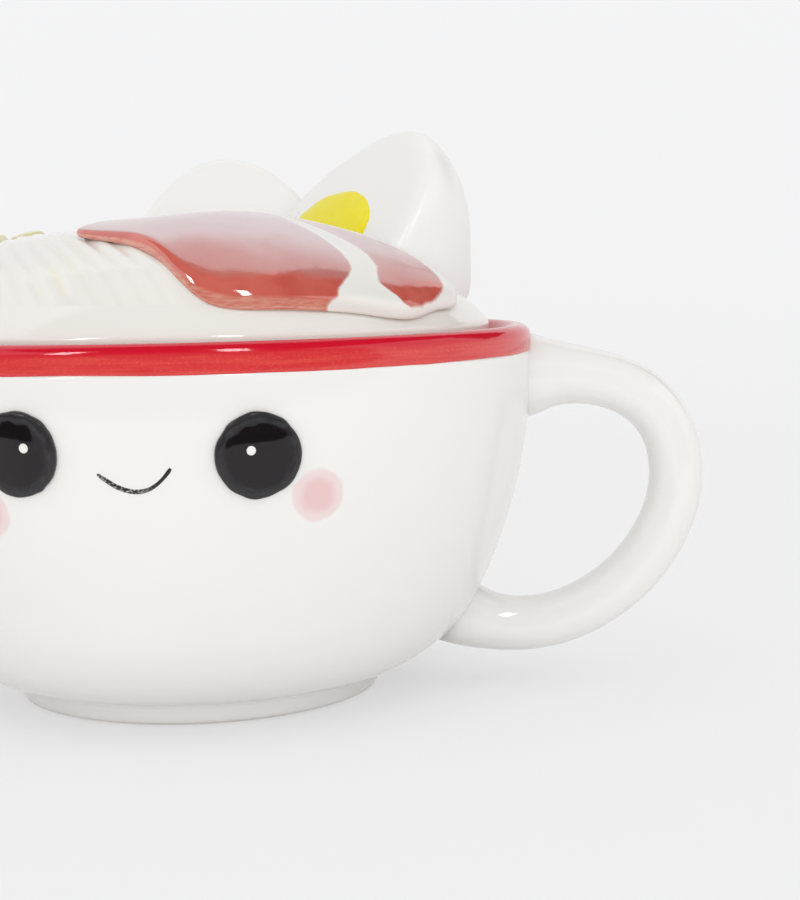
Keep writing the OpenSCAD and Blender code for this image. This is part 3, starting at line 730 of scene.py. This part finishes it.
FRONT_LEAN = [(0.0140, 0.0060), (0.0198, -0.0045), (0.0228, -0.0110), (0.0260, -0.0155), (0.0292, -0.0201),
              (0.0323, -0.0255), (0.0341, -0.0301), (0.0348, -0.0340), (0.0345, -0.0380), (0.0330, -0.0438),
              (0.0329, -0.0472), (0.0310, -0.0503), (0.0305, -0.0640), (-0.0400, -0.0640),
              (-0.0400, 0.0060)]
BACK_LEAN = [(0.0209, -0.0036), (0.0256, -0.0087), (0.0302, -0.0136), (0.0343, -0.0178), (0.0374, -0.0226),
             (0.0390, -0.0279), (0.0396, -0.0361), (0.0411, -0.0379), (0.0429, -0.0392), (0.0440, -0.0411),
             (0.0453, -0.0409), (0.0471, -0.0385), (0.0494, -0.0324), (0.0506, -0.0272), (0.0510, -0.0226),
             (0.0501, -0.0187), (0.0478, -0.0142), (0.0445, -0.0095), (0.0407, -0.0068), (0.0361, -0.0055),
             (0.0316, -0.0050), (0.0262, -0.0044)]


def cad_copy(node, name):
    """A copy of a CAD node's mesh with its loose triangles joined."""
    bpy.ops.object.select_all(action="DESELECT")
    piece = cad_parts[node].copy()
    piece.data = piece.data.copy()
    piece.name = piece.data.name = name
    piece.parent = None
    bpy.context.scene.collection.objects.link(piece)
    piece.select_set(True)
    bpy.context.view_layer.objects.active = piece
    bpy.ops.object.mode_set(mode="EDIT")
    bpy.ops.mesh.select_all(action="SELECT")
    bpy.ops.mesh.remove_doubles(threshold=2e-6)
    bpy.ops.mesh.tris_convert_to_quads()
    bpy.ops.object.mode_set(mode="OBJECT")
    return piece


def inside(outline, spot):
    """Distance of a plan point from an outline, positive within it."""
    nearest, within = 1.0, False
    for (ax, ay), (bx, by) in zip(outline, outline[1:] + outline[:1]):
        edge = Vector((bx - ax, by - ay))
        start = spot - Vector((ax, ay))
        share = min(1, max(0, start.dot(edge) / edge.length_squared))
        nearest = min(nearest, (start - share * edge).length)
        if (ay > spot.y) != (by > spot.y) and spot.x < ax + (spot.y - ay) / (by - ay) * (bx - ax):
            within = not within
    return nearest if within else -nearest


pork = cad_copy("pork", "pork_slice")
smoothed(pork, 2)
for sag_at, sag_reach, sag in PORK_SAGS:
    for v in pork.data.vertices:
        v.co += math.exp(-((v.co.xy - sag_at).length / sag_reach) ** 2) * sag
for v in pork.data.vertices:
    v.co += PORK_BED
for paint, outline in (("front_lean", FRONT_LEAN), ("back_lean", BACK_LEAN)):
    depth = pork.data.attributes.new(paint, "FLOAT", "POINT")
    depth.data.foreach_set("value", [inside(outline, Vector((v.co.x, v.co.y + v.co.z - PORK_Z)))
                                     for v in pork.data.vertices])
upright = pork.data.attributes.new("upright", "FLOAT", "POINT")
upright.data.foreach_set("value", [1 - n.vector.z for n in pork.data.vertex_normals])

pork_glaze, pork_shader = new_finish("pork_glaze", 0.1)
pork_shader.inputs["IOR"].default_value = 2.0
tilt = put(pork_glaze, "ShaderNodeAttribute", {"attribute_name": "upright"}).outputs["Fac"]
blotch = mottle(pork_glaze, 130, 4)
streaks = mottle(pork_glaze, 1, 3, (500, 500, 2600))
uneven = reckon(pork_glaze, "ADD", tilt, reckon(pork_glaze, "MULTIPLY", blotch, BLOTCH_SHARE))
# Painted reflection: the pale pink on top fades out as the slab tilts down.
sheen_fading = between(pork_glaze, uneven, *SHEEN_FADES_AT)
pool = between(pork_glaze, uneven, *POOLS_AT)
rubbed = put(pork_glaze, "ShaderNodeMapRange", Value=streaks, From_Min=0.35, From_Max=0.6, To_Min=0.35)
hem = reckon(pork_glaze, "MULTIPLY", between(pork_glaze, tilt, *HEM_AT), rubbed.outputs["Result"])
pooled_red = tinted(pork_glaze, between(pork_glaze, blotch, 0.35, 0.65), LEAN_POOLED, LEAN_DEEP)
lean_red = tinted(pork_glaze, sheen_fading, LEAN_PAINTED_SHEEN, LEAN_THIN_AND_SHEEN)
lean_red = tinted(pork_glaze, pool, lean_red, pooled_red)
lean_red = tinted(pork_glaze, hem, lean_red, LEAN_HEM)
waver_edge = reckon(pork_glaze, "MULTIPLY",
                    reckon(pork_glaze, "SUBTRACT", mottle(pork_glaze, 300, 4), 0.5), LEAN_RAGGED)
pork_colour = LID_WHITE
painted = 0.0
for paint in ("front_lean", "back_lean"):
    depth_in = put(pork_glaze, "ShaderNodeAttribute", {"attribute_name": paint}).outputs["Fac"]
    mask = between(pork_glaze, reckon(pork_glaze, "ADD", depth_in, waver_edge), -LEAN_SOFT, LEAN_SOFT)
    pork_colour = tinted(pork_glaze, mask, pork_colour, lean_red)
    painted = reckon(pork_glaze, "MAXIMUM", mask, painted)
link(pork_glaze, pork_colour, pork_shader, "Base Color")
glaze_skin(pork_glaze, pork_shader, 0.03, spread(pork_glaze, painted, FAT_DULL, LEAN_SHINE))
dressed(pork, pork_glaze, "lid", "pork_glaze", "pork")

# Egg halves
# Two halves of hard-boiled egg bedded in the dome, the cut faces tipped up towards the front. They are cast
# with the lid, so their edges are soft and their sides run straight down to it, under a satin white glaze.
# An egg is given by its place, its heading, lift and lean in degrees, and its growth.
EGG_LENGTH = 0.0588
EGG_WIDTH = 0.0488
EGG_BLUNT = 0.2
EGG_FOOT = 0.016
EGG_BED = 0.002
EGG_BASE = RIM_Z + 0.003
EGG_VOXEL = 0.0008
EGG_SATIN = (0.24, 0.36)
EGG_WHITE = (0.888, 0.880, 0.856, 1)
EGG_PALE = (0.874, 0.867, 0.846, 1)
EGGS = {"left": ((0.0035, 0.0339, 0.0863), -87, 34, 175, 0.992),
        "right": ((0.0274, 0.0143, 0.0911), -147, 33, 84, 1.035)}


def egg_face(at, heading, lift):
    """The frame of an egg's cut face, which looks to -Y before it is placed."""
    return (Matrix.Translation(at) @ Matrix.Rotation(math.radians(heading + 90), 4, "Z")
            @ Matrix.Rotation(math.radians(-lift), 4, "X"))


def bedded(piece):
    """A piece cut off inside the lid's wall, with the cut's slivers dissolved."""
    applied(piece, "BOOLEAN", operation="DIFFERENCE", object=bed, solver="MANIFOLD")
    bpy.ops.object.mode_set(mode="EDIT")
    bpy.ops.mesh.select_all(action="SELECT")
    bpy.ops.mesh.remove_doubles(threshold=1e-5)
    bpy.ops.mesh.quads_convert_to_tris()
    bpy.ops.mesh.dissolve_degenerate(threshold=1e-5)
    bpy.ops.object.mode_set(mode="OBJECT")


egg_line = [(EGG_WIDTH / 2 * math.sin(a) * (1 - EGG_BLUNT * math.cos(a)), -EGG_LENGTH / 2 * math.cos(a))
            for a in (math.pi * k / 28 for k in range(29))]
egg_glaze, egg_shader = new_finish("egg_glaze", 0.3)
link(egg_glaze, clouded(egg_glaze, 30, EGG_WHITE, EGG_PALE), egg_shader, "Base Color")
glaze_skin(egg_glaze, egg_shader, shine=spread(egg_glaze, mottle(egg_glaze, 90), *EGG_SATIN))
bed = spun("egg_bed", profile((0, SPIGOT_Z), (LID_R, SPIGOT_Z),
                              *((r, dome_z(r) - EGG_BED) for r in reversed(dome_radii))))
for egg_side, (egg_at, heading, lift, lean, growth) in EGGS.items():
    egg = spun("egg_half_" + egg_side, profile(*egg_line), 56)
    bpy.ops.object.mode_set(mode="EDIT")
    bpy.ops.mesh.select_all(action="SELECT")
    bpy.ops.mesh.bisect(plane_co=(0, 0, 0), plane_no=(0, 1, 0), use_fill=True, clear_inner=True)
    bpy.ops.object.mode_set(mode="OBJECT")
    placed(egg, egg_face(egg_at, heading, lift) @ Matrix.Rotation(math.radians(lean), 4, "Y")
           @ Matrix.Scale(growth, 4))
    bpy.ops.object.mode_set(mode="EDIT")
    bpy.ops.mesh.select_all(action="SELECT")
    bpy.ops.mesh.duplicate_move(TRANSFORM_OT_translate={"value": (0, 0, -EGG_FOOT)})
    bpy.ops.mesh.select_all(action="SELECT")
    bpy.ops.mesh.convex_hull()
    bpy.ops.mesh.bisect(plane_co=(0, 0, EGG_BASE), plane_no=(0, 0, 1), use_fill=True, clear_inner=True)
    bpy.ops.object.mode_set(mode="OBJECT")
    applied(egg, "REMESH", mode="VOXEL", voxel_size=EGG_VOXEL)
    applied(egg, "SMOOTH", factor=0.5, iterations=130)
    smoothed(egg)
    bedded(egg)
    dressed(egg, egg_glaze, "lid", "white_glaze", "egg_" + egg_side)

# Yolks
# A low round of bright yellow on each cut face, brushed on by hand, so its edge wanders and the colour is
# thin in places. A yolk is given by its stretch, its shift along the face and the place of its cut end.
YOLK_R = 0.0126
YOLK_RISE = 0.0012
YOLK_DROP = 0.0013
YOLKS = {"left": (1.15, 0.0, 0.0160), "right": (1.38, 0.0028, 0.0168)}
YOLK_YELLOW = (0.86, 0.74, 0.012, 1)
YOLK_THIN = (0.87, 0.77, 0.03, 1)

yolk_glaze, yolk_shader = new_finish("yolk_glaze", 0.12)
yolk_shader.inputs["Specular IOR Level"].default_value = 0.12
strokes = between(yolk_glaze, mottle(yolk_glaze, 300, 4), 0.4, 0.66)
link(yolk_glaze, tinted(yolk_glaze, strokes, YOLK_YELLOW, YOLK_THIN), yolk_shader, "Base Color")
glaze_skin(yolk_glaze, yolk_shader, 0.05)
wander = bpy.data.textures.new("yolk_wander", "CLOUDS")
wander.noise_scale = 0.008
yolk_line = [(YOLK_R * math.cos(a), YOLK_RISE * math.sin(a))
             for a in (math.radians(9 * k) for k in range(11))]
for egg_side, (egg_at, heading, lift, lean, growth) in EGGS.items():
    stretch, aside, cut_at = YOLKS[egg_side]
    yolk = spun("yolk_round_" + egg_side, profile((0, -0.0008), (YOLK_R, -0.0008), *yolk_line), 64)
    rim = yolk.vertex_groups.new(name="rim")
    rim.add([v.index for v in yolk.data.vertices if v.co.xy.length > YOLK_R * 0.85], 1, "REPLACE")
    applied(yolk, "DISPLACE", texture=wander, texture_coords="LOCAL", strength=0.0008, vertex_group="rim")
    smoothed(yolk)
    bpy.ops.object.mode_set(mode="EDIT")
    bpy.ops.mesh.select_all(action="SELECT")
    bpy.ops.transform.resize(value=(stretch, 0.92, 1), center_override=(0, 0, 0))
    bpy.ops.mesh.bisect(plane_co=(cut_at, 0, 0), plane_no=(1, 0.12, 0), use_fill=True, clear_outer=True)
    bpy.ops.object.mode_set(mode="OBJECT")
    placed(yolk, egg_face(egg_at, heading, lift) @ Matrix.Translation((-aside, 0, -YOLK_DROP))
           @ Matrix.Rotation(math.pi / 2, 4, "X"))
    bedded(yolk)
    dressed(yolk, yolk_glaze, "lid", "yolk_glaze", "yolk_" + egg_side)
bpy.data.objects.remove(bed)

# Spring onion
# Two cut rings of spring onion, rolled in clay and pressed into the noodles. The cut edge is glazed a pale
# yellow, and the skin outside in olive green.
ONION_R = 0.004
ONION_WALL = 0.0015
ONION_HEIGHT = 0.0028
ONION_AT = [(-0.0355, 0.0145), (-0.0410, 0.0050)]
ONION_PALE = (0.85, 0.81, 0.58, 1)
ONION_GREEN = (0.69, 0.66, 0.40, 1)
ONION_BED = 0.0025

onion_line = [(ONION_R - ONION_WALL / 2 + ONION_WALL / 2 * math.cos(a),
               ONION_HEIGHT / 2 + ONION_HEIGHT / 2 * math.sin(a))
              for a in (2 * math.pi * k / 14 for k in range(15))]
onion_glaze, onion_shader = new_finish("onion_glaze", 0.12)
skin_side = put(onion_glaze, "ShaderNodeAttribute", {"attribute_name": "skin"}).outputs["Fac"]
green = reckon(onion_glaze, "MULTIPLY", skin_side, between(onion_glaze, mottle(onion_glaze, 330), 0.3, 0.6))
link(onion_glaze, tinted(onion_glaze, green, ONION_PALE, ONION_GREEN), onion_shader, "Base Color")
glaze_skin(onion_glaze, onion_shader)
onion_rings = []
for x, y in ONION_AT:
    ring = spun("onion_ring", profile(*onion_line), 40)
    skin = ring.data.attributes.new("skin", "FLOAT", "POINT")
    skin.data.foreach_set("value", [step(v.co.xy.length, ONION_R - ONION_WALL / 2, ONION_R)
                                    for v in ring.data.vertices])
    r = math.hypot(x, y)
    lean = math.atan((dome_z(r - 0.001) - dome_z(r + 0.001)) / 0.002)
    placed(ring, Matrix.Translation((x, y, dome_z(r) + ONION_BED))
           @ Matrix.Rotation(math.atan2(y, x), 4, "Z") @ Matrix.Rotation(lean, 4, "Y"))
    smoothed(ring)
    onion_rings.append(ring)
bpy.ops.object.select_all(action="DESELECT")
for ring in onion_rings:
    ring.select_set(True)
bpy.context.view_layer.objects.active = onion_rings[0]
bpy.ops.object.join()
onion_rings[0].name = "onion_rings"
dressed(onion_rings[0], onion_glaze, "lid", "onion_glaze", "spring_onion")
